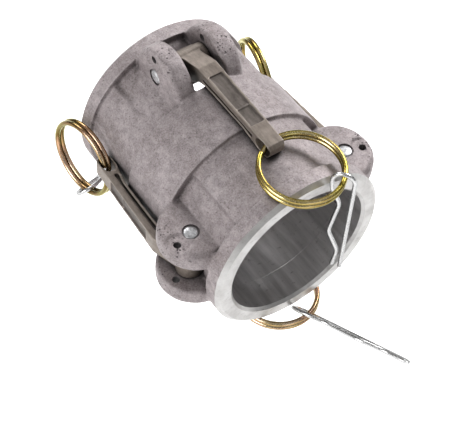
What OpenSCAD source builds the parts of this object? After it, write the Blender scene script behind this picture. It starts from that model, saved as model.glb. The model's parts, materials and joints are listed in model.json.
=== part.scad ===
// Double-female camlock coupling, size 2 in (DN 50).
// X is the bore axis, +X leaves the front mouth, and the origin is the middle of the body on that axis.
// A station holds one arm with its ears, pin, ring and clip: the top and bottom stations pivot at
// the rear end, and the left (-Y) and right (+Y) stations pivot at the front end.

/* [Body] */
// Length over both machined end faces
body_l = 101.9; // [96:0.1:110]
// Radius of the socket that the adapter enters
socket_r = 31.85; // [31.5:0.05:32.2]
// Radius of the cored bore behind the turned land at each mouth
core_r = 32.2; // [31.9:0.05:32.6]
// Width of that land, up to the end face
land_w = 14.4; // [12:0.1:14.6]
// Radius of the open passage through the middle web
passage_r = 25.4; // [24:0.1:28]
// Radius of the end collars and the middle band
collar_r = 39.7; // [38.8:0.1:41]
// Radius of the cast pads between the ears
pad_r = 37.6; // [36.5:0.1:37.9]
// Radius of the casting in the pockets beside the ears
pocket_r = 36; // [35:0.1:36.4]
// Width of the middle band
band_w = 26.4; // [22:0.1:30]
// Width of each end collar
collar_w = 8.1; // [6:0.1:9]
// Width of a pad across the body
pad_w = 52; // [46:0.5:56]

/* [Ears and windows] */
// Distance from the middle of the body to a pivot pin
pivot_x = 29.1; // [28:0.1:30]
// Radius at which a pivot pin sits
pivot_r = 37.7; // [37.4:0.1:38.4]
// Width over a pair of ears
ears_w = 32.8; // [30:0.1:36]
// Clear width between a pair of ears
slot_w = 15; // [14.8:0.1:16]
// Radius of an ear's rounded outline
ear_r = 15.6; // [15:0.1:16.2]
// Radius of the hole that the safety clip fits
clip_hole_r = 1.6; // [1.3:0.1:1.8]

/* [Gaskets] */
// Thickness of a gasket
gasket_t = 6.2; // [5.5:0.1:6.3]
// Outer radius of a gasket
gasket_r = 33.6; // [33.2:0.05:33.65]

/* [Arms] */
// Distance from a pivot pin to the eye at the arm's tip
eye_u = 55; // [53:0.1:56]
// Height of the eye above the pivot pin
eye_v = 3.6; // [3.4:0.05:3.8]
// Radius of the eye
eye_r = 2.65; // [2.4:0.05:2.7]
// Width of the cam head
head_w = 9.4; // [8.6:0.1:10]
// Width of the arm's tip
tip_w = 7.6; // [7:0.1:8.4]
// Radius of a pivot pin
pin_r = 3.1; // [2.8:0.05:3.2]

/* [Rings and clips] */
// Radius of a pull ring, at the middle of its wire
ring_r = 16.45; // [16.2:0.05:16.8]
// Wire radius of a pull ring
ring_wire_r = 1.1; // [0.9:0.05:1.15]
// Wire radius of a safety clip
clip_wire_r = 0.9; // [0.7:0.05:0.95]
// Radius of a safety clip's bight, at the middle of its wire
bight_r = 4.4; // [4.2:0.1:4.8]

/* [Hidden] */
$fn = 96;

half_l = body_l / 2;
web_x = 4;                         // half of the web between the two gaskets
groove_x = 10.4;                   // end of a gasket's groove
groove_r = 33.7;
run_clear = 0.05;                  // radial play of an arm on its pin
socket_chamfer = 1.2;
collar_chamfer = 1.8;

ear_x = 27.8;                      // centre of an ear's outline
ear_c = 34.2;
ear_t = (ears_w - slot_w) / 2;
ear_round = 3.2;
slot_round = 1.2;
window_x = [13.4, 36];             // stretch of the wall that a window opens
clip_hole = [31.1, 45.3];          // place of a safety hole: along the bore, and radius
spot_r = 4.7;                      // spot face round a safety hole
spot_t = 1;
rivet_gap = 0.45;                  // open ring round a pin's end
rivet_gap_t = 0.7;

// Roll about the bore, and end of the body: 0 is the rear, 180 the front.
top = [0, 0];
bottom = [180, 0];
left = [90, 180];
right = [-90, 180];
STATIONS = [top, bottom, left, right];

// How each ring hangs in its eye: swing off the bore's direction, turn and twist in the eye.
top_hang = [-2.6, 11, 0];
bottom_hang = [-3, 0, 0];
left_hang = [9, 22, 5];
right_hang = [14, -22, -4];

// Where each clip sits round its ring, its direction, the direction of its straight leg, and how far
// it has slid along its legs.
top_clip = [155.7, [0.053, 0.045, -0.998], [0.768, 0.631, 0.111], 1.4];
bottom_clip = [195.1, [0.928, 0.277, 0.25], [0.088, 0.697, -0.712], 4.6];
left_clip = [100.3, [-0.503, 0.72, -0.479], [0.242, 0.904, 0.352], 1.74];
right_clip = [-114.8, [-0.279, -0.845, -0.457], [-0.746, -0.596, 0.297], 0.68];

// A clip's two legs, from the bight to the tip, and the swell of the wire where it bends.
bight_x = 1.3;
clip_legs = [[[bight_x, bight_r], [53.5, 1]],
             [[bight_x, -bight_r], [6, -4.3], [14, -0.9], [32, -4.7], [43.5, -0.5], [53, -2.4]]];
knuckle = 0.05;
bar_gap = 0.26;

function unit(v) = v / norm(v);

// Puts a station's own frame into the body's frame.
module at_station(s) rotate([s[0], 0, 0]) rotate([0, 0, s[1]]) children();

// Places children on three directions: x, the one at right angles to it nearest y, and their normal.
module on_axes(origin, x, y) {
    ux = unit(x);
    uz = unit(cross(ux, y));
    uy = cross(uz, ux);
    multmatrix([[ux[0], uy[0], uz[0], origin[0]],
                [ux[1], uy[1], uz[1], origin[1]],
                [ux[2], uy[2], uz[2], origin[2]],
                [0, 0, 0, 1]]) children();
}

// Turned blank of the casting: both sockets, the web, and the outline without pads and ears.
module blank() {
    half = [[passage_r, web_x], [groove_r, web_x], [groove_r, groove_x], [core_r, groove_x],
            [core_r, half_l - land_w - 0.4], [socket_r, half_l - land_w],
            [socket_r, half_l - socket_chamfer], [socket_r + socket_chamfer, half_l],
            [collar_r - collar_chamfer, half_l], [collar_r, half_l - collar_chamfer],
            [collar_r, half_l - collar_w], [pocket_r, half_l - collar_w],
            [pocket_r, band_w / 2], [collar_r, band_w / 2]];
    back = [for (i = [len(half) - 1 : -1 : 0]) [half[i].x, -half[i].y]];
    rotate([0, 90, 0]) rotate_extrude($fn = 180) polygon(concat(half, back));
}

// The two raised pads of one end, which face the stations of the other end.
module pads(end) {
    l = half_l - collar_w - band_w / 2;
    intersection() {
        translate([end == 0 ? -band_w / 2 - l : band_w / 2, 0, 0]) rotate([0, 90, 0])
            difference() {
                cylinder(r = pad_r, h = l, $fn = 180);
                translate([0, 0, -1]) cylinder(r = socket_r + 1, h = l + 2, $fn = 180);
            }
        if (end == 0)
            translate([-body_l, -body_l, -pad_w / 2]) cube([2 * body_l, 2 * body_l, pad_w]);
        else
            translate([-body_l, -pad_w / 2, -body_l]) cube([2 * body_l, pad_w, 2 * body_l]);
    }
}

// One ear: a round lug with a rounded rim, its inner face at z = 0 and its outer face up.
module ear() rotate_extrude() {
    square([ear_r - ear_round, ear_t]);
    translate([0, slot_round]) square([ear_r, ear_t - slot_round - ear_round]);
    square([ear_r - slot_round, ear_t - ear_round]);
    translate([ear_r - ear_round, ear_t - ear_round]) intersection() {
        circle(ear_round);
        square(ear_round);
    }
    translate([ear_r - slot_round, slot_round]) intersection() {
        circle(slot_round);
        translate([0, -slot_round]) square(slot_round);
    }
}

module ears() for (side = [-1, 1])
    translate([-ear_x, side * slot_w / 2, ear_c]) rotate([-side * 90, 0, 0]) ear();

// Everything that is cut at one station: window, pin hole, safety hole and their rims.
module station_cuts() {
    translate([-window_x[1], -slot_w / 2, passage_r - 2])
        cube([window_x[1] - window_x[0], slot_w, body_l]);
    translate([-pivot_x, 0, pivot_r]) rotate([90, 0, 0]) cylinder(r = pin_r, h = body_l, center = true);
    translate([-clip_hole[0], 0, clip_hole[1]]) rotate([90, 0, 0])
        cylinder(r = clip_hole_r, h = body_l, center = true);
    for (side = [-1, 1]) {
        translate([-pivot_x, side * (ears_w / 2 - rivet_gap_t), pivot_r]) rotate([-side * 90, 0, 0])
            cylinder(r = pin_r + rivet_gap, h = body_l);
        translate([-clip_hole[0], side * (ears_w / 2 - spot_t), clip_hole[1]])
            rotate([-side * 90, 0, 0]) cylinder(r = spot_r, h = body_l);
    }
}

module coupling_body() color([0.66, 0.62, 0.62]) difference() {
    union() {
        blank();
        pads(0);
        pads(180);
        difference() {
            for (s = STATIONS) at_station(s) ears();
            translate([-body_l, 0, 0]) rotate([0, 90, 0])
                cylinder(r = socket_r + 1, h = 2 * body_l, $fn = 180);
        }
    }
    for (s = STATIONS) at_station(s) station_cuts();
}

// Gasket with chamfered lips, standing in the groove of the front socket.
module gasket(end) color([0.09, 0.09, 0.09]) {
    x0 = web_x + 0.1;
    lip = 0.8;
    ri = passage_r + 0.2;
    rotate([0, end == 0 ? -90 : 90, 0]) rotate_extrude($fn = 180)
        polygon([[ri, x0 + lip], [ri + lip, x0], [gasket_r, x0], [gasket_r, x0 + gasket_t],
                 [ri + lip, x0 + gasket_t], [ri, x0 + gasket_t - lip]]);
}

// Arm, in its own frame: the pin is at the origin, x runs to the tip and z away from the body.
bend = [12.5, 9.1];                // where the sloping head meets the bar
tip_top = [58.2, 6.8];
eye_turn = 24;                     // how far a ring can turn in the eye
face_drop = atan2(bend.y - tip_top.y, tip_top.x - bend.x);

module arm_side() {
    circle(5.6);
    translate([1.5, -3.4]) circle(5.8);
    polygon([[-4.4, 3.9], bend, tip_top, [59.7, 5.4], [59.7, 2.6], [58.3, 0.5], [52.6, 0.45],
             [48.6, 1.5], [42.6, 2.7], [17.5, 3.6], [13.8, 2.6], [10.6, 0.2], [7.3, -3.4],
             [0, -5], [-5.4, 0]]);
}

module arm_plan() polygon([[-10, -head_w / 2], [bend.x, -head_w / 2 + 0.4], [tip_top.x, -tip_w / 2],
    [59.8, -tip_w / 2 + 0.5], [59.8, tip_w / 2 - 0.5], [tip_top.x, tip_w / 2],
    [bend.x, head_w / 2 - 0.4], [-10, head_w / 2]]);

// Long hollow in each flank of the bar, between its outer and inner flanges.
module flank_cut() linear_extrude(height = 10)
    polygon([[15.5, 4.6], [42.6, 3.8], [48.4, 2.6], [48.4, 4.4], [15.5, 6.1]]);

module cam_arm() color([0.55, 0.51, 0.48]) difference() {
    union() {
        intersection() {
            rotate([90, 0, 0]) linear_extrude(height = 20, center = true) arm_side();
            translate([0, 0, -20]) linear_extrude(height = 40) arm_plan();
        }
        rotate([90, 0, 0]) cylinder(r = 5.6, h = slot_w - 0.6, center = true);
    }
    rotate([90, 0, 0]) cylinder(r = pin_r + run_clear, h = slot_w + 2, center = true);
    translate([eye_u, 0, eye_v]) {
        rotate([90, 0, 0]) cylinder(r = eye_r, h = 20, center = true);
        for (turn = [-eye_turn, eye_turn]) rotate([90, 0, turn])
            cylinder(r = eye_r - 0.1, h = 20, center = true);
    }
    for (side = [-1, 1]) {
        translate([eye_u, side * 2, eye_v]) rotate([-side * 90, 0, 0])
            cylinder(r1 = eye_r - 0.2, r2 = eye_r + 0.3, h = 2);
        translate([0, side < 0 ? -2.4 : 12.4, 0]) rotate([90, 0, 0]) flank_cut();
    }
    // Empty name panel in the outer face, with one rib across it.
    translate([bend.x, 0, bend.y]) rotate([0, face_drop, 0]) difference() {
        translate([5.8, -3.1, -0.9]) cube([28.4, 6.2, 5]);
        translate([24.3, -3.1, -0.9]) cube([0.6, 6.2, 0.5]);
    }
}

module pivot_pin() color([0.80, 0.80, 0.82]) rotate([90, 0, 0])
    cylinder(r = pin_r, h = ears_w - 0.3, center = true);

// Pull ring: two turns of one wire side by side, at the origin, with z as its axis.
module pull_ring() color([0.72, 0.66, 0.30]) rotate_extrude($fn = 120) for (side = [-1, 1])
    translate([ring_r, side * (ring_wire_r - 0.03)]) circle(ring_wire_r, $fn = 32);

// Round bar from p to q in the xy plane, a little short of both, where the knuckles are.
module bar(p, q) translate([p.x, p.y, 0]) rotate([0, 0, atan2(q.y - p.y, q.x - p.x)])
    translate([bar_gap, 0, 0]) rotate([0, 90, 0])
        cylinder(r = clip_wire_r, h = norm(q - p) - 2 * bar_gap, $fn = 32);

// Safety clip: a bight round the ring at the origin, a straight leg and a waved leg along x.
module safety_clip() color([0.85, 0.85, 0.87]) {
    translate([bight_x, 0, 0]) rotate([0, 0, 90]) rotate_extrude(angle = 180)
        translate([bight_r, 0]) circle(clip_wire_r, $fn = 32);
    for (leg = clip_legs) {
        for (i = [1 : len(leg) - 1]) bar(leg[i - 1], leg[i]);
        for (p = leg) translate([p.x, p.y, 0]) sphere(clip_wire_r + knuckle, $fn = 32);
    }
}

// A ring in its station, from how it hangs: its centre, and the two directions of its plane.
function ring_u(h) = [cos(h[1]) * cos(h[0]), sin(h[1]), cos(h[1]) * sin(h[0])];
function ring_t(h) = let (t = [-sin(h[1]) * cos(h[0]), cos(h[1]), -sin(h[1]) * sin(h[0])],
                          n = [-sin(h[0]), 0, cos(h[0])]) t * cos(h[2]) + n * sin(h[2]);
eye = [eye_u - pivot_x, 0, eye_v + pivot_r];

module hung_ring(h) on_axes(eye + ring_r * ring_u(h), ring_u(h), ring_t(h)) pull_ring();

function in_body(s, v) = let (f = s[1] == 0 ? v : [-v.x, -v.y, v.z])
    [f.x, f.y * cos(s[0]) - f.z * sin(s[0]), f.y * sin(s[0]) + f.z * cos(s[0])];
function on_ring(s, h, a) =
    in_body(s, eye + ring_r * (ring_u(h) * (1 - cos(a)) + ring_t(h) * sin(a)));

module hung_clip(s, h, c) on_axes(on_ring(s, h, c[0]), c[1], c[2]) translate([-c[3], 0, 0])
    safety_clip();

module at_pin() translate([-pivot_x, 0, pivot_r]) children();

module front_gasket() gasket(180);
module rear_gasket() gasket(0);
module top_cam_arm() at_station(top) at_pin() cam_arm();
module bottom_cam_arm() at_station(bottom) at_pin() cam_arm();
module left_cam_arm() at_station(left) at_pin() cam_arm();
module right_cam_arm() at_station(right) at_pin() cam_arm();
module top_pivot_pin() at_station(top) at_pin() pivot_pin();
module bottom_pivot_pin() at_station(bottom) at_pin() pivot_pin();
module left_pivot_pin() at_station(left) at_pin() pivot_pin();
module right_pivot_pin() at_station(right) at_pin() pivot_pin();
module top_pull_ring() at_station(top) hung_ring(top_hang);
module bottom_pull_ring() at_station(bottom) hung_ring(bottom_hang);
module left_pull_ring() at_station(left) hung_ring(left_hang);
module right_pull_ring() at_station(right) hung_ring(right_hang);
module top_safety_clip() hung_clip(top, top_hang, top_clip);
module bottom_safety_clip() hung_clip(bottom, bottom_hang, bottom_clip);
module left_safety_clip() hung_clip(left, left_hang, left_clip);
module right_safety_clip() hung_clip(right, right_hang, right_clip);

coupling_body();
front_gasket();
rear_gasket();
top_cam_arm();
bottom_cam_arm();
left_cam_arm();
right_cam_arm();
top_pivot_pin();
bottom_pivot_pin();
left_pivot_pin();
right_pivot_pin();
top_pull_ring();
bottom_pull_ring();
left_pull_ring();
right_pull_ring();
top_safety_clip();
bottom_safety_clip();
left_safety_clip();
right_safety_clip();
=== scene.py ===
import json
import math

import bmesh
import bpy
import numpy as np
from mathutils import Matrix, Vector, noise


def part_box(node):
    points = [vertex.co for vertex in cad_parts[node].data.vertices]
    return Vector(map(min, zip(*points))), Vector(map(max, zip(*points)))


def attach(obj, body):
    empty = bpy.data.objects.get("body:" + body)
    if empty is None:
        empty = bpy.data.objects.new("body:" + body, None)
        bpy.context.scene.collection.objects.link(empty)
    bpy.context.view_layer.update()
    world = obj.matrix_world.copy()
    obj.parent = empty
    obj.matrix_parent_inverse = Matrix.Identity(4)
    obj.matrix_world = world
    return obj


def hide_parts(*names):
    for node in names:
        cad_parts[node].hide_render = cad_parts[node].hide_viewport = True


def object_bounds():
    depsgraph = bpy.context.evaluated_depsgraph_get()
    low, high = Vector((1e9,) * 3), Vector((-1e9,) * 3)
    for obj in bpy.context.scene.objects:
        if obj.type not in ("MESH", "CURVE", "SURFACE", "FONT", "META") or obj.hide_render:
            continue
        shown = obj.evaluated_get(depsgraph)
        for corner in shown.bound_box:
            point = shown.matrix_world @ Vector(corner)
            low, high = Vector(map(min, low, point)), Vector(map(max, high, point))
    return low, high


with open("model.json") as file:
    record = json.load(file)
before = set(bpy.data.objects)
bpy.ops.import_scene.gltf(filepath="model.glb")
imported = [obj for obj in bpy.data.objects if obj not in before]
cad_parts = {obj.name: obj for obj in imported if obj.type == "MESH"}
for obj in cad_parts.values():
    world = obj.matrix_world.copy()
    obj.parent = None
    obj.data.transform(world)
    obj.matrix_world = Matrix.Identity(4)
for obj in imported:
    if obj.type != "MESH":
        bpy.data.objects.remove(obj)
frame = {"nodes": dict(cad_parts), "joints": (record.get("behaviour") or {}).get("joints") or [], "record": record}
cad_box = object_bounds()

# Looks of a camlock coupling. The frame is in metres: X is the bore, Z is up.
MM = 0.001
STATIONS = ("top", "bottom", "left", "right")
JOINTS = {j["name"]: j for j in frame["joints"]}
MOUNTS = {m["name"]: m for m in frame["record"]["mounts"]}

# Casting and its turned surfaces
HALF_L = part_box("coupling_body")[1].x
SOCKET_R = MOUNTS["front_socket"]["dims"]["r_mm"] * MM
PASSAGE_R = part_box("front_gasket")[1].z - 8.2 * MM
GROOVE_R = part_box("front_gasket")[1].z + 0.1 * MM
COLLAR_R = 39.7 * MM
WEB_X = 4 * MM
GROOVE_X = 10.4 * MM
CORE_R = SOCKET_R + 0.35 * MM
LAND_X = HALF_L - 14.4 * MM
SOCKET_CHAMFER = 1.2 * MM
COLLAR_CHAMFER = 1.8 * MM
SLOT_W = 15 * MM
EARS_W = 32.8 * MM
WINDOW_X = (13.4 * MM, 36 * MM)
CLIP_HOLE = (31.1 * MM, 45.3 * MM)
CLIP_HOLE_R = 1.6 * MM
SPOT_T = 1 * MM
PIN_R = (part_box("top_pivot_pin")[1].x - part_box("top_pivot_pin")[0].x) / 2
PIN_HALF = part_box("top_pivot_pin")[1].y
PIN_HOLE = (-JOINTS["top_arm_hinge"]["pos_m"][0], JOINTS["top_arm_hinge"]["pos_m"][2])
RIVET_GAP = 0.45 * MM
RIVET_GAP_T = 0.7 * MM

# Arm, from its pin: the outer face's two ends, and its sunk panel's ends, half width and heights
BAR_BEND = (12.5 * MM, 9.1 * MM)
BAR_TIP = (58.2 * MM, 6.8 * MM)
PANEL = (5.4 * MM, 34.6 * MM, 3.3 * MM)
PANEL_DEPTH = (-1.4 * MM, -0.35 * MM)

# Wire parts
RING_WIRE_R = 1.1 * MM
RING_PITCH = 1.07 * MM
CLIP_WIRE_R = 0.9 * MM
KNUCKLE = 0.05 * MM
BIGHT_X = 1.3 * MM
BIGHT_R = 4.4 * MM
STRAIGHT_TIP = (53.5 * MM, 1 * MM)
WAVED_LEG = [(6, -4.3), (14, -0.9), (32, -4.7), (43.5, -0.5), (53, -2.4)]


# ---------------------------------------------------------------- meshes

def new_object(name, mesh):
    obj = bpy.data.objects.new(name, mesh)
    bpy.context.scene.collection.objects.link(obj)
    return obj


def from_data(name, verts, faces):
    mesh = bpy.data.meshes.new(name)
    mesh.from_pydata([tuple(v) for v in verts], [], faces)
    mesh.update()
    return new_object(name, mesh)


def tidy_normals(obj):
    bm = bmesh.new()
    bm.from_mesh(obj.data)
    bmesh.ops.remove_doubles(bm, verts=bm.verts, dist=1e-7)
    bmesh.ops.recalc_face_normals(bm, faces=bm.faces)
    bm.to_mesh(obj.data)
    bm.free()


def smooth_shade(obj, angle=35):
    obj.data.shade_smooth()
    obj.data.set_sharp_from_angle(angle=math.radians(angle))


def delete(obj):
    bpy.data.objects.remove(obj)


def join(objs):
    """One object that holds the meshes of all, in the first one's place."""
    bm = bmesh.new()
    for o in objs:
        o.data.transform(o.matrix_world)
        o.matrix_world = Matrix.Identity(4)
        bm.from_mesh(o.data)
    bm.to_mesh(objs[0].data)
    bm.free()
    for o in objs[1:]:
        delete(o)
    return objs[0]


def bake(obj, kind, **settings):
    """Adds one modifier and applies it."""
    modifier = obj.modifiers.new(kind.lower(), kind)
    for key, value in settings.items():
        setattr(modifier, key, value)
    bpy.context.view_layer.update()
    graph = bpy.context.evaluated_depsgraph_get()
    mesh = bpy.data.meshes.new_from_object(obj.evaluated_get(graph))
    obj.modifiers.clear()
    obj.data = mesh


def cut(obj, cutter, operation="DIFFERENCE"):
    tidy_normals(cutter)
    bake(obj, "BOOLEAN", operation=operation, object=cutter, solver="MANIFOLD")
    delete(cutter)


def lathe(name, profile, segments=240):
    """Turns a closed outline of (x, radius) points about the X axis."""
    verts = []
    for i in range(segments):
        a = 2 * math.pi * i / segments
        verts += [(x, r * math.cos(a), r * math.sin(a)) for x, r in profile]
    n = len(profile)
    faces = []
    for i in range(segments):
        j = (i + 1) % segments
        faces += [(i * n + k, i * n + (k + 1) % n, j * n + (k + 1) % n, j * n + k)
                  for k in range(n)]
    obj = from_data(name, verts, faces)
    tidy_normals(obj)
    return obj


def block(lo, hi):
    verts = [(x, y, z) for x in (lo[0], hi[0]) for y in (lo[1], hi[1]) for z in (lo[2], hi[2])]
    faces = [(0, 1, 3, 2), (4, 6, 7, 5), (0, 4, 5, 1), (2, 3, 7, 6), (0, 2, 6, 4), (1, 5, 7, 3)]
    return from_data("block", verts, faces)


def rod(start, end, radius, sides=64):
    """Round bar between two points."""
    bm = bmesh.new()
    axis = Vector(end) - Vector(start)
    middle = Matrix.Translation((Vector(start) + Vector(end)) / 2)
    place = middle @ axis.to_track_quat("Z", "Y").to_matrix().to_4x4()
    bmesh.ops.create_cone(bm, cap_ends=True, segments=sides, radius1=radius, radius2=radius,
                          depth=axis.length, matrix=place)
    mesh = bpy.data.meshes.new("rod")
    bm.to_mesh(mesh)
    bm.free()
    return new_object("rod", mesh)


def wire(name, points, radius, sides=20):
    """Round wire along a path, with its two ends cut off square and slightly rounded."""
    points = np.array(points, float)
    tangents = np.gradient(points, axis=0)
    tangents /= np.linalg.norm(tangents, axis=1)[:, None]
    side = np.cross(tangents[0], [0.3, 0.5, 0.8])
    rounding = ((0.0, 1.0), (0.22, 0.93), (0.34, 0.72))
    rings = []
    for i, (p, t) in enumerate(zip(points, tangents)):
        side = side - t * (side @ t)
        side /= np.linalg.norm(side)
        up = np.cross(t, side)
        steps = ((0.0, 1.0),)
        if i == 0:
            steps = [(-d, s) for d, s in reversed(rounding)]
        if i == len(points) - 1:
            steps = rounding
        for along, scale in steps:
            angles = [2 * math.pi * k / sides for k in range(sides)]
            around = [side * math.cos(a) + up * math.sin(a) for a in angles]
            rings.append([p + t * along * radius + spoke * radius * scale for spoke in around])
    verts = [v for ring in rings for v in ring]
    faces = [tuple(reversed(range(sides))), tuple(len(verts) - sides + k for k in range(sides))]
    for i in range(len(rings) - 1):
        a, b = i * sides, (i + 1) * sides
        faces += [(a + k, a + (k + 1) % sides, b + (k + 1) % sides, b + k) for k in range(sides)]
    obj = from_data(name, verts, faces)
    smooth_shade(obj, 50)
    return obj


def station_axes(name):
    """Directions of a station: along the arm from its pin, across, and out from the bore."""
    pin = Vector(JOINTS[f"{name}_arm_hinge"]["pos_m"])
    along = Vector((-math.copysign(1, pin.x), 0, 0))
    out = Vector((0, pin.y, pin.z)).normalized()
    return along, out.cross(along), out


def station_matrix(name):
    """Takes a point (along, across, out) of a station, from the body's middle, into the frame."""
    return Matrix(station_axes(name)).transposed().to_4x4()


def cad_copy(node, name):
    obj = new_object(name, frame["nodes"][node].data.copy())
    obj.data.materials.clear()
    tidy_normals(obj)
    return obj


def roughen(obj, layers):
    """Moves each vertex along its normal by smooth noise: layers are (size, height) pairs."""
    mesh = obj.data
    co = np.empty(len(mesh.vertices) * 3)
    normal = np.empty(len(mesh.vertices) * 3)
    mesh.vertices.foreach_get("co", co)
    mesh.vertices.foreach_get("normal", normal)
    co, normal = co.reshape(-1, 3), normal.reshape(-1, 3)
    shift = np.zeros(len(co))
    for size, height in layers:
        shift += height * np.array([noise.noise(Vector(p)) for p in co / size])
    mesh.vertices.foreach_set("co", (co + normal * shift[:, None]).ravel())
    mesh.update()


# ---------------------------------------------------------------- materials

class Shader:
    """A node material, built from the output backwards."""

    def __init__(self, name):
        self.material = bpy.data.materials.new(name)
        self.material.use_nodes = True
        self.tree = self.material.node_tree
        self.bsdf = self.tree.nodes["Principled BSDF"]
        self.place = self.add("ShaderNodeTexCoord").outputs["Object"]

    def add(self, kind, inputs=None, **settings):
        node = self.tree.nodes.new(kind)
        for key, value in settings.items():
            setattr(node, key, value)
        for key, value in (inputs or {}).items():
            self.put(node.inputs[key], value)
        return node

    def put(self, socket, value):
        if isinstance(value, bpy.types.NodeSocket):
            self.tree.links.new(value, socket)
        else:
            socket.default_value = value

    def set(self, **values):
        for key, value in values.items():
            self.put(self.bsdf.inputs[key.replace("_", " ")], value)

    def noise(self, size, detail=3.0, rough=0.55, stretch=(1, 1, 1)):
        """Noise whose features are about size metres across."""
        place = self.add("ShaderNodeMapping", {"Vector": self.place, "Scale": stretch}).outputs[0]
        node = self.add("ShaderNodeTexNoise", {"Vector": place, "Scale": 1 / size, "Detail": detail,
                                               "Roughness": rough})
        return node.outputs["Fac"]

    def ramp(self, value, stops):
        """Colours or greys along a value: stops are (position, colour) pairs."""
        node = self.add("ShaderNodeValToRGB", {"Fac": value})
        ramp = node.color_ramp
        while len(ramp.elements) < len(stops):
            ramp.elements.new(0.5)
        for element, (position, colour) in zip(ramp.elements, stops):
            element.position = position
            element.color = colour if len(colour) == 4 else (*colour, 1)
        return node.outputs["Color"]

    def grey(self, value, stops):
        return self.ramp(value, [(p, (g, g, g)) for p, g in stops])

    def mix(self, share, a, b, kind="MIX"):
        node = self.add("ShaderNodeMix", data_type="RGBA", blend_type=kind)
        self.put(node.inputs["Factor"], share)
        self.put(node.inputs["A"], a)
        self.put(node.inputs["B"], b)
        return node.outputs["Result"]

    def math(self, kind, a, b=0.0):
        return self.add("ShaderNodeMath", {0: a, 1: b}, operation=kind).outputs[0]

    def bump(self, height, distance, strength=1.0, before=None):
        node = self.add("ShaderNodeBump", {"Height": height, "Distance": distance,
                                           "Strength": strength})
        if before is not None:
            self.put(node.inputs["Normal"], before)
        return node.outputs["Normal"]

    def parts(self):
        node = self.add("ShaderNodeSeparateXYZ", {"Vector": self.place})
        return node.outputs["X"], node.outputs["Y"], node.outputs["Z"]

    def bore_radius(self):
        _, y, z = self.parts()
        squares = self.math("ADD", self.math("POWER", y, 2), self.math("POWER", z, 2))
        return self.math("SQRT", squares)

    def edges(self):
        """Near 1 on outward edges, near 0 in corners, 0.5 on flats."""
        return self.add("ShaderNodeNewGeometry").outputs["Pointiness"]

    def cavity(self, reach):
        """0 deep in a corner, 1 in the open."""
        return self.add("ShaderNodeAmbientOcclusion", {"Distance": reach}).outputs["AO"]


def rgb(*values):
    return (*values, 1.0)


def cast_aluminium():
    s = Shader("cast_aluminium")
    broad = s.noise(14 * MM, 3)
    grain = s.noise(0.7 * MM, 4, 0.75)
    fine = s.noise(0.25 * MM, 2, 0.6)
    colour = s.ramp(broad, [(0.3, (0.33, 0.284, 0.284)), (0.55, (0.39, 0.341, 0.346)),
                            (0.75, (0.45, 0.398, 0.404))])
    stain = s.grey(s.noise(3.5 * MM, 4, 0.7), [(0.35, 0.34), (0.65, 0.66)])
    colour = s.mix(0.5, colour, stain, "OVERLAY")
    colour = s.mix(0.8, colour, s.grey(grain, [(0.3, 0.15), (0.7, 0.85)]), "SOFT_LIGHT")
    light = s.grey(s.noise(0.6 * MM, 1), [(0.62, 0.0), (0.72, 0.5)])
    colour = s.mix(light, colour, rgb(0.58, 0.53, 0.54))
    dark = s.grey(s.noise(0.9 * MM, 2), [(0.30, 0.6), (0.38, 0.0)])
    colour = s.mix(dark, colour, rgb(0.13, 0.105, 0.105))
    # Painted shade: colour darkened in tight corners and recesses (3.5 mm reach) and in broad hollows and pockets
    # (14 mm reach).
    corner_shade = s.grey(s.cavity(3.5 * MM), [(0.3, 0.06), (0.86, 1.0)])
    colour = s.mix(0.9, colour, corner_shade, "MULTIPLY")
    shade = s.grey(s.cavity(14 * MM), [(0.25, 0.4), (0.68, 1.0)])
    colour = s.mix(0.9, colour, shade, "MULTIPLY")
    # Blow holes, mostly on the ears' rims.
    holes = s.add("ShaderNodeTexVoronoi", {"Vector": s.place, "Scale": 1 / (1.4 * MM)})
    pit = s.grey(holes.outputs["Distance"], [(0.18, 1.0), (0.36, 0.0)])
    patch = s.grey(s.noise(5 * MM, 1), [(0.47, 0.0), (0.56, 1.0)])
    rim = s.grey(s.math("MULTIPLY", s.bore_radius(), 10.0), [(0.455, 0.0), (0.475, 1.0)])
    pit = s.math("MULTIPLY", pit, s.math("MULTIPLY", patch, rim))
    colour = s.mix(s.math("MULTIPLY", pit, 0.85), colour, rgb(0.05, 0.042, 0.045))
    worn = s.grey(s.edges(), [(0.515, 0.0), (0.60, 1.0)])
    colour = s.mix(s.math("MULTIPLY", worn, 0.35), colour, rgb(0.56, 0.53, 0.53))
    normal = s.bump(grain, 0.2 * MM, 0.8)
    normal = s.bump(fine, 0.06 * MM, 0.5, normal)
    normal = s.bump(pit, -0.4 * MM, 0.8, normal)
    s.set(Base_Color=colour, Metallic=0.4, Normal=normal)
    s.set(Roughness=s.grey(grain, [(0.3, 0.45), (0.7, 0.65)]))
    return s.material


def turned_face():
    """Bright end faces and chamfers, with the rings a lathe tool leaves."""
    s = Shader("turned_face")
    radius = s.bore_radius()
    rings = s.math("SINE", s.math("MULTIPLY", radius, 2 * math.pi / (0.35 * MM)))
    broad = s.noise(7 * MM, 4, 0.6)
    scuff = s.noise(1.2 * MM, 3, 0.7, (1, 0.35, 1))
    colour = s.ramp(broad, [(0.35, (0.50, 0.485, 0.475)), (0.62, (0.64, 0.63, 0.62))])
    colour = s.mix(s.grey(scuff, [(0.60, 0.0), (0.75, 0.6)]), colour, rgb(0.27, 0.255, 0.25))
    normal = s.bump(rings, 0.006 * MM, 0.5)
    normal = s.bump(scuff, 0.03 * MM, 0.4, normal)
    s.set(Base_Color=colour, Metallic=0.7, Normal=normal)
    s.set(Roughness=s.grey(scuff, [(0.3, 0.30), (0.8, 0.5)]))
    return s.material


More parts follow.
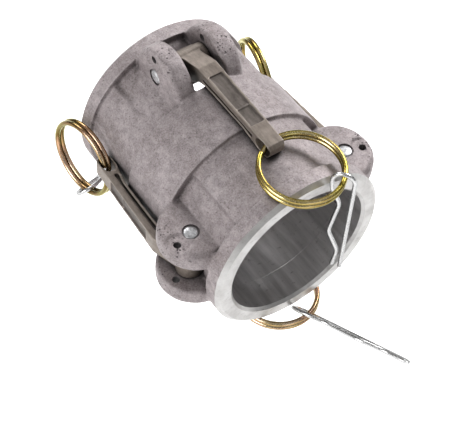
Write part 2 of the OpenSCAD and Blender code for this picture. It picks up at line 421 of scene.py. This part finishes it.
def turned_bore():
    """Dull grey bore, with fine feed marks round it and streaks along it."""
    s = Shader("turned_bore")
    x, _, _ = s.parts()
    feed = s.math("SINE", s.math("MULTIPLY", x, 2 * math.pi / (0.3 * MM)))
    streak = s.noise(4 * MM, 5, 0.65, (0.12, 1, 1))
    colour = s.ramp(streak, [(0.32, (0.42, 0.41, 0.41)), (0.68, (0.66, 0.64, 0.64))])
    scrape = s.grey(s.noise(1.5 * MM, 3, 0.6, (1, 0.4, 1)), [(0.62, 0.0), (0.74, 0.5)])
    colour = s.mix(scrape, colour, rgb(0.16, 0.15, 0.15))
    normal = s.bump(feed, 0.006 * MM, 0.5)
    normal = s.bump(streak, 0.05 * MM, 0.3, normal)
    s.set(Base_Color=colour, Metallic=0.75, Normal=normal)
    s.set(Roughness=s.grey(streak, [(0.3, 0.34), (0.7, 0.5)]))
    return s.material


def arm_steel(name="arm_steel", dark=(0.20, 0.165, 0.14), light=(0.30, 0.255, 0.22), wear=0.65):
    s = Shader(name)
    broad = s.noise(6 * MM, 4, 0.65)
    grain = s.noise(0.35 * MM, 3, 0.65)
    scratch = s.noise(1.2 * MM, 3, 0.7, (0.2, 1, 1))
    colour = s.ramp(broad, [(0.32, dark), (0.68, light)])
    colour = s.mix(0.5, colour, s.grey(scratch, [(0.3, 0.25), (0.7, 0.75)]), "SOFT_LIGHT")
    # Painted shade: colour darkened in tight corners (2 mm reach) and in broad hollows such as under the arm's
    # head (12 mm reach).
    corner_shade = s.grey(s.cavity(2 * MM), [(0.15, 0.15), (0.85, 1.0)])
    colour = s.mix(0.9, colour, corner_shade, "MULTIPLY")
    shade = s.grey(s.cavity(12 * MM), [(0.15, 0.25), (0.7, 1.0)])
    colour = s.mix(0.9, colour, shade, "MULTIPLY")
    worn = s.grey(s.edges(), [(0.515, 0.0), (0.59, 1.0)])
    colour = s.mix(s.math("MULTIPLY", worn, wear), colour, rgb(0.55, 0.49, 0.43))
    s.set(Base_Color=colour, Metallic=0.5, Normal=s.bump(grain, 0.06 * MM, 0.6))
    s.set(Roughness=s.grey(grain, [(0.3, 0.36), (0.7, 0.52)]))
    return s.material


def pin_steel():
    s = Shader("pin_steel")
    dents = s.noise(1.1 * MM, 2, 0.6)
    grain = s.noise(0.2 * MM, 2)
    colour = s.ramp(dents, [(0.35, (0.46, 0.46, 0.47)), (0.65, (0.82, 0.82, 0.84))])
    normal = s.bump(dents, 0.12 * MM, 0.7)
    normal = s.bump(grain, 0.02 * MM, 0.4, normal)
    s.set(Base_Color=colour, Metallic=0.8, Roughness=0.38, Normal=normal)
    return s.material


def ring_zinc(name, warm):
    """Yellow chromate over zinc, with painted highlight and reflection bands across the wire. warm shifts it from
    gold to copper.
    """
    s = Shader(name)
    # Painted highlight and reflection: by how the wire faces the camera, its colour runs bright at the middle,
    # dark brown, then light at the edges, shifted a little by noise.
    facing = s.add("ShaderNodeLayerWeight", {"Blend": 0.4}).outputs["Facing"]
    drift = s.noise(7 * MM, 2)
    value = s.math("ADD", s.math("MULTIPLY", facing, 0.85), s.math("MULTIPLY", drift, 0.3))
    gold = [(0.14, (0.90, 0.78, 0.36)), (0.30, (0.52, 0.42, 0.08)), (0.46, (0.15, 0.105, 0.012)),
            (0.62, (0.24, 0.20, 0.035)), (0.85, (0.66, 0.62, 0.22)), (0.98, (0.80, 0.76, 0.40))]
    copper = [(0.14, (0.92, 0.70, 0.55)), (0.30, (0.66, 0.38, 0.24)), (0.46, (0.22, 0.12, 0.06)),
              (0.62, (0.22, 0.20, 0.06)), (0.85, (0.55, 0.50, 0.22)), (0.98, (0.85, 0.56, 0.46))]
    spread = 0.25
    patches = s.grey(s.noise(11 * MM, 1), [(0.42, max(0.0, warm - spread)),
                                           (0.58, min(1.0, warm + spread))])
    colour = s.mix(patches, s.ramp(value, gold), s.ramp(value, copper))
    # Painted shade: colour darkened where the turns lie against each other (0.9 mm reach).
    corner_shade = s.grey(s.cavity(0.9 * MM), [(0.2, 0.08), (0.8, 1.0)])
    colour = s.mix(0.9, colour, corner_shade, "MULTIPLY")
    scratch = s.noise(0.5 * MM, 2, 0.5)
    s.set(Base_Color=colour, Metallic=1.0, Normal=s.bump(scratch, 0.015 * MM, 0.3))
    s.set(Roughness=s.grey(scratch, [(0.3, 0.18), (0.7, 0.30)]))
    return s.material


def clip_steel():
    s = Shader("clip_steel")
    # Painted reflection: by how the wire faces the camera, it is pale grey at its middle and darker towards its
    # edges, shifted a little by noise.
    facing = s.add("ShaderNodeLayerWeight", {"Blend": 0.4}).outputs["Facing"]
    scratch = s.noise(0.6 * MM, 3, 0.6)
    drift = s.noise(4 * MM, 2)
    value = s.math("ADD", s.math("MULTIPLY", facing, 0.9), s.math("MULTIPLY", drift, 0.2))
    colour = s.grey(value, [(0.12, 0.86), (0.35, 0.66), (0.60, 0.36), (0.80, 0.26), (0.98, 0.5)])
    s.set(Base_Color=colour, Metallic=1.0, Normal=s.bump(scratch, 0.02 * MM, 0.4))
    s.set(Roughness=s.grey(scratch, [(0.3, 0.2), (0.7, 0.34)]))
    return s.material


def gasket_rubber():
    s = Shader("gasket_rubber")
    grain = s.noise(0.4 * MM, 3)
    colour = s.ramp(s.noise(5 * MM, 3), [(0.3, (0.012, 0.012, 0.013)),
                                         (0.7, (0.035, 0.034, 0.034))])
    s.set(Base_Color=colour, Normal=s.bump(grain, 0.05 * MM, 0.5))
    s.set(Roughness=s.grey(grain, [(0.3, 0.5), (0.7, 0.7)]))
    return s.material


def pale_floor():
    s = Shader("pale_floor")
    s.set(Base_Color=s.grey(s.noise(0.4, 2), [(0.3, 0.86), (0.7, 0.89)]), Roughness=0.9)
    # Seen directly the floor glows nearly white, but it sends little of that glow onto the part.
    ray = s.add("ShaderNodeLightPath").outputs["Is Diffuse Ray"]
    glow = s.grey(ray, [(0.0, 0.65), (1.0, 0.08)])
    s.set(Emission_Color=rgb(1.0, 1.0, 1.0), Emission_Strength=glow)
    return s.material


# ---------------------------------------------------------------- body

def window_blocks(low):
    """The four cam windows, from radius low outwards."""
    blocks = []
    for name in STATIONS:
        b = block((-WINDOW_X[1], -SLOT_W / 2, low), (-WINDOW_X[0], SLOT_W / 2, 60 * MM))
        b.data.transform(station_matrix(name))
        blocks.append(b)
    return join(blocks)


def ear_rods(x, z, radius, inner, outer):
    """Rods across both ears of every station, at one place (x, z) of the station."""
    rods = []
    for name in STATIONS:
        for side in (-1, 1):
            r = rod((-x, side * inner, z), (-x, side * outer, z), radius)
            r.data.transform(station_matrix(name))
            rods.append(r)
    return rods


def machined_outline():
    """The (x, radius) outline that turning leaves: bore, sockets, end faces and chamfers."""
    reach = 18 * MM
    half = [(WEB_X, PASSAGE_R), (WEB_X, GROOVE_R), (GROOVE_X, GROOVE_R), (GROOVE_X, CORE_R),
            (LAND_X - 0.4 * MM, CORE_R), (LAND_X, SOCKET_R),
            (HALF_L - SOCKET_CHAMFER, SOCKET_R), (HALF_L, SOCKET_R + SOCKET_CHAMFER),
            (HALF_L, COLLAR_R - COLLAR_CHAMFER),
            (HALF_L - COLLAR_CHAMFER - reach, COLLAR_R + reach)]
    return half + [(-x, r) for x, r in reversed(half)]


def on_outline(outline, x, r, reach=0.012 * MM):
    """True for the points that lie on the turned outline, apart from its outermost side."""
    hit = np.zeros(len(x), bool)
    point = np.stack([x, r], 1)
    for a, b in zip(outline, outline[1:] + outline[:1]):
        if min(a[1], b[1]) > COLLAR_R:
            continue
        a, b = np.array(a), np.array(b)
        share = np.clip((point - a) @ (b - a) / ((b - a) @ (b - a)), 0, 1)
        hit |= np.linalg.norm(point - a - share[:, None] * (b - a), axis=1) < reach
    return hit


def make_body():
    """The casting is one voxel form with soft fillets and skin, then it's turned and drilled."""
    body = cad_copy("coupling_body", "body_casting")
    stock = 2.5 * MM
    core_end, core_r = HALF_L + stock, SOCKET_R + 1.15 * MM
    middle, middle_r = GROOVE_X + 1.6 * MM, GROOVE_R + 0.7 * MM
    core = lathe("core", [(-core_end, 0), (-core_end, core_r), (-middle, core_r),
                          (-middle, middle_r), (middle, middle_r), (middle, core_r),
                          (core_end, core_r), (core_end, 0)])
    cut(core, window_blocks(SOCKET_R - 1.4 * MM))
    ends = [rod((side * (HALF_L - 5 * MM), 0, 0), (side * (HALF_L + stock), 0, 0), COLLAR_R, 240)
            for side in (-1, 1)]
    # The holes are plugged, so that the voxels don't blur them, and drilled again afterwards.
    skin = 0.02 * MM
    near, far = SLOT_W / 2 + skin, EARS_W / 2 - skin
    plugs = ear_rods(*PIN_HOLE, PIN_R + RIVET_GAP + 0.1 * MM, near, far)
    plugs += ear_rods(*CLIP_HOLE, CLIP_HOLE_R + 0.2 * MM, near, far - SPOT_T)
    join([body, core] + ends + plugs)
    voxel = 0.5 * MM
    bake(body, "REMESH", mode="VOXEL", voxel_size=voxel)
    bake(body, "SMOOTH", factor=0.5, iterations=3)
    roughen(body, [(11 * MM, 0.22 * MM), (3 * MM, 0.07 * MM)])
    outline = machined_outline()
    cut(body, lathe("turning", outline, 360), "INTERSECT")
    near, far = SLOT_W / 2 - 2 * MM, EARS_W / 2 + 2 * MM
    cut(body, join(ear_rods(*PIN_HOLE, PIN_R, near, far)))
    cut(body, join(ear_rods(*PIN_HOLE, PIN_R + RIVET_GAP, EARS_W / 2 - RIVET_GAP_T, far)))
    cut(body, join(ear_rods(*CLIP_HOLE, CLIP_HOLE_R, near, far)))
    tidy_normals(body)
    smooth_shade(body, 32)
    paint_body(body, outline)
    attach(body, "body")
    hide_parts("coupling_body")


def paint_body(body, outline):
    """Cast skin, bright turned ends, and dull bore, by where each face lies."""
    mesh = body.data
    mesh.materials.clear()
    for material in (cast_aluminium(), turned_face(), turned_bore()):
        mesh.materials.append(material)
    centre = np.empty(len(mesh.polygons) * 3)
    mesh.polygons.foreach_get("center", centre)
    centre = centre.reshape(-1, 3)
    radius = np.hypot(centre[:, 1], centre[:, 2])
    turned = on_outline(outline, centre[:, 0], radius)
    end = np.abs(centre[:, 0]) > HALF_L - COLLAR_CHAMFER
    mouth = np.abs(centre[:, 0]) > HALF_L - SOCKET_CHAMFER
    outside_bore = (radius > SOCKET_R + 0.05 * MM) | mouth
    slots = np.where(turned & end & outside_bore, 1, np.where(turned, 2, 0))
    mesh.polygons.foreach_set("material_index", slots.astype(np.int32))


# ---------------------------------------------------------------- arms and pins

def make_arms():
    """One arm, softened from the CAD form as an investment casting, turned to the four stations."""
    material = arm_steel()
    arm = cad_copy("top_cam_arm", "top_arm_casting")
    bake(arm, "REMESH", mode="VOXEL", voxel_size=0.3 * MM)
    bake(arm, "SMOOTH", factor=0.5, iterations=4)
    roughen(arm, [(4 * MM, 0.05 * MM)])
    smooth_shade(arm, 60)
    arm.data.materials.clear()
    arm.data.materials.append(material)
    arm.data.materials.append(arm_steel("arm_panel", dark=(0.10, 0.083, 0.073),
                                        light=(0.17, 0.145, 0.13), wear=0.2))
    pin = JOINTS["top_arm_hinge"]["pos_m"]
    fall = math.atan2(BAR_BEND[1] - BAR_TIP[1], BAR_TIP[0] - BAR_BEND[0])
    for face in arm.data.polygons:
        u, v = face.center.x - pin[0] - BAR_BEND[0], face.center.z - pin[2] - BAR_BEND[1]
        along = u * math.cos(fall) - v * math.sin(fall)
        height = u * math.sin(fall) + v * math.cos(fall)
        inside = PANEL[0] < along < PANEL[1] and abs(face.center.y) < PANEL[2]
        if inside and PANEL_DEPTH[0] < height < PANEL_DEPTH[1] and face.normal.z > -0.2:
            face.material_index = 1
    home = station_matrix("top").inverted()
    for name in STATIONS:
        obj = arm
        if name != "top":
            obj = new_object(f"{name}_arm_casting", arm.data.copy())
            obj.data.transform(station_matrix(name) @ home)
        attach(obj, f"{name}_arm")
        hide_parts(f"{name}_cam_arm")


def make_pins():
    """Pivot pins, their ends hammered slightly domed and uneven."""
    material = pin_steel()
    outline = [(0.0, 1.0), (0.93, 1.0), (0.965, 0.97), (0.985, 0.88), (0.992, 0.72),
               (0.997, 0.5), (1.0, 0.25), (1.0, 0.0)]
    profile = [(x * PIN_HALF, r * PIN_R) for x, r in outline]
    profile = [(-x, r) for x, r in reversed(profile[1:])] + profile
    pin = lathe("top_pin_round", profile, 64)
    roughen(pin, [(1.4 * MM, 0.05 * MM)])
    smooth_shade(pin, 50)
    pin.data.materials.append(material)
    place = Matrix.Translation((-PIN_HOLE[0], 0, PIN_HOLE[1]))
    pin.data.transform(place @ Matrix.Rotation(math.pi / 2, 4, "Z"))
    home = station_matrix("top").inverted()
    for name in STATIONS:
        obj = pin
        if name != "top":
            obj = new_object(f"{name}_pin_round", pin.data.copy())
            obj.data.transform(station_matrix(name) @ home)
        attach(obj, "body")
        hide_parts(f"{name}_pivot_pin")


# ---------------------------------------------------------------- rings and clips

def node_points(node):
    return np.array([v.co for v in frame["nodes"][node].data.vertices], float)


def make_rings():
    """Split rings: one wire that goes nearly twice round, with a step where it changes sides."""
    step, turns, count = 22, 2, 200
    start = {"top": 24, "bottom": 8, "left": 6, "right": 8}
    warm = {"top": 0.05, "bottom": 0.75, "left": 0.65, "right": 0.1}
    for name in STATIONS:
        points = node_points(f"{name}_pull_ring")
        lo, hi = points.min(0), points.max(0)
        centre = (lo + hi) / 2
        normal = np.linalg.svd(points - centre, full_matrices=False)[2][2]
        eye = np.array(JOINTS[f"{name}_ring_swing"]["pos_m"])
        u = eye - centre
        u -= normal * (u @ normal)
        radius = np.linalg.norm(u)
        u /= radius
        v = np.cross(normal, u)
        if normal @ np.array(station_axes(name)[2]) < 0:
            normal, v = -normal, -v
        path = []
        for i in range(count + 1):
            turn = (360 * turns - step) * i / count
            share = min(1.0, max(0.0, (turn - (360 - step)) / step))
            rise = RING_PITCH * (1 - 2 * share * share * (3 - 2 * share))
            a = math.radians(start[name] + turn)
            path.append(centre + radius * (u * math.cos(a) + v * math.sin(a)) + normal * rise)
        ring = wire(f"{name}_split_ring", path, RING_WIRE_R)
        ring.data.materials.append(ring_zinc(f"{name}_ring_zinc", warm[name]))
        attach(ring, f"{name}_ring")
        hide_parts(f"{name}_pull_ring")


def round_corners(points, radius, steps=5):
    """A path whose inner corners are arc-like curves of about the given radius."""
    path = [np.array(points[0], float)]
    for before, here, after in zip(points, points[1:], points[2:]):
        before, here, after = (np.array(p, float) for p in (before, here, after))
        a, b = before - here, after - here
        reach = min(radius, np.linalg.norm(a) * 0.4, np.linalg.norm(b) * 0.4)
        p, q = here + a / np.linalg.norm(a) * reach, here + b / np.linalg.norm(b) * reach
        for i in range(steps + 1):
            t = i / steps
            path.append((1 - t) ** 2 * p + 2 * t * (1 - t) * here + t ** 2 * q)
    path.append(np.array(points[-1], float))
    return path


def clip_path():
    """Centre line of a safety clip in its own plane: straight leg, bight, waved leg."""
    bight = [(BIGHT_X + BIGHT_R * math.cos(a), BIGHT_R * math.sin(a))
             for a in np.radians(np.linspace(90, 270, 25))]
    waved = round_corners([bight[-1]] + [(x * MM, y * MM) for x, y in WAVED_LEG], 2.4 * MM)
    tip, turn = np.array(STRAIGHT_TIP), np.array(bight[0])
    straight = [tuple(tip * (1 - t) + turn * t) for t in np.linspace(0, 0.98, 14)]
    return straight + bight + [tuple(p) for p in waved[1:]]


def clip_axes(name):
    """A clip's origin and directions, found from its CAD wire and its joint."""
    points = node_points(f"{name}_safety_clip")
    joint = JOINTS[f"{name}_clip_swing"]
    wire_place, uz = np.array(joint["pos_m"]), np.array(joint["axis"])
    far = np.linalg.norm(points - wire_place, axis=1)
    tip = points[far > far.max() - 0.2 * MM].mean(0) - wire_place
    tip -= uz * (tip @ uz)
    direction = tip / np.linalg.norm(tip)
    length = far.max() - CLIP_WIRE_R - KNUCKLE
    lean = math.asin(STRAIGHT_TIP[1] / length)
    for sign in (1, -1):
        z = uz * sign
        ux = direction * math.cos(lean) - np.cross(z, direction) * math.sin(lean)
        uy = np.cross(z, ux)
        local = points - wire_place
        end = local[local @ ux > length - 4 * MM] @ uy
        if end.mean() < 0:
            break
    slip = STRAIGHT_TIP[0] - length * math.cos(lean)
    return wire_place - ux * slip, ux, uy


def make_clips():
    material = clip_steel()
    for name in STATIONS:
        origin, ux, uy = clip_axes(name)
        path = [origin + ux * x + uy * y for x, y in clip_path()]
        clip = wire(f"{name}_wire_clip", path, CLIP_WIRE_R, 18)
        clip.data.materials.append(material)
        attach(clip, f"{name}_clip")
        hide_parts(f"{name}_safety_clip")


def dress_gaskets():
    material = gasket_rubber()
    for node in ("front_gasket", "rear_gasket"):
        obj = frame["nodes"][node]
        for slot in obj.material_slots:
            slot.material = material


# ---------------------------------------------------------------- stage

def make_stage():
    size, low = 4.0, cad_box[0].z - 90 * MM
    corners = ((-size, -size), (size, -size), (size, size), (-size, size))
    floor = from_data("floor", [(x, y, low) for x, y in corners], [(0, 1, 2, 3)])
    floor.data.materials.append(pale_floor())

    world = bpy.data.worlds.new("studio")
    bpy.context.scene.world = world
    world.use_nodes = True
    tree = world.node_tree
    place = tree.nodes.new("ShaderNodeTexCoord")
    split = tree.nodes.new("ShaderNodeSeparateXYZ")
    height = tree.nodes.new("ShaderNodeMapRange")
    height.inputs["From Min"].default_value = -1
    ramp = tree.nodes.new("ShaderNodeValToRGB")
    stops = [(0.0, 0.75), (0.48, 0.55), (0.56, 0.42), (0.72, 0.85), (1.0, 1.15)]
    while len(ramp.color_ramp.elements) < len(stops):
        ramp.color_ramp.elements.new(0.5)
    for element, (position, grey) in zip(ramp.color_ramp.elements, stops):
        element.position = position
        element.color = (grey, grey, grey, 1)
    tree.links.new(place.outputs["Generated"], split.inputs[0])
    tree.links.new(split.outputs["Z"], height.inputs["Value"])
    tree.links.new(height.outputs[0], ramp.inputs["Fac"])
    tree.links.new(ramp.outputs["Color"], tree.nodes["Background"].inputs["Color"])
    tree.nodes["Background"].inputs["Strength"].default_value = 0.24


def area_light(name, place, size, power):
    data = bpy.data.lights.new(name, "AREA")
    data.shape = "DISK"
    data.size = size
    data.energy = power
    obj = bpy.data.objects.new(name, data)
    obj.location = place
    obj.rotation_euler = (-Vector(place)).to_track_quat("-Z", "Y").to_euler()
    bpy.context.scene.collection.objects.link(obj)


def make_camera():
    """The camera looks down at the front mouth and the top arm."""
    azimuth, elevation, roll = math.radians(50.84), math.radians(52.57), math.radians(4.96)
    distance, across, up_shift = 0.5449, 2.62 * MM, -20.64 * MM
    level = math.cos(elevation)
    back = Vector((math.sin(azimuth) * level, -math.cos(azimuth) * level, math.sin(elevation)))
    level_right = Vector((math.cos(azimuth), math.sin(azimuth), 0))
    level_up = back.cross(level_right)
    right = level_right * math.cos(roll) + level_up * math.sin(roll)
    up = level_up * math.cos(roll) - level_right * math.sin(roll)
    data = bpy.data.cameras.new("camera")
    data.sensor_width = 36
    data.lens = 102.1
    data.clip_start, data.clip_end = 0.01, 50
    camera = bpy.data.objects.new("camera", data)
    bpy.context.scene.collection.objects.link(camera)
    place = back * distance + right * across + up * up_shift
    turn = Matrix((right, up, back)).transposed().to_4x4()
    camera.matrix_world = Matrix.Translation(place) @ turn
    bpy.context.scene.camera = camera
    return back, right, up


def make_lights(back, right, up):
    area_light("key", Vector((-0.12, 0.56, 0.46)), 0.35, 4.0)
    area_light("fill", -right * 0.6 - up * 0.1 + back * 0.6, 0.6, 3.7)
    area_light("rear", Vector((-0.62, 0.1, 0.38)), 0.35, 2.0)
    area_light("front", Vector((0.7, -0.07, 0.18)), 0.4, 0.3)


make_body()
make_arms()
make_pins()
make_rings()
make_clips()
dress_gaskets()
make_stage()
make_lights(*make_camera())
bpy.context.scene.view_settings.view_transform = "Standard"
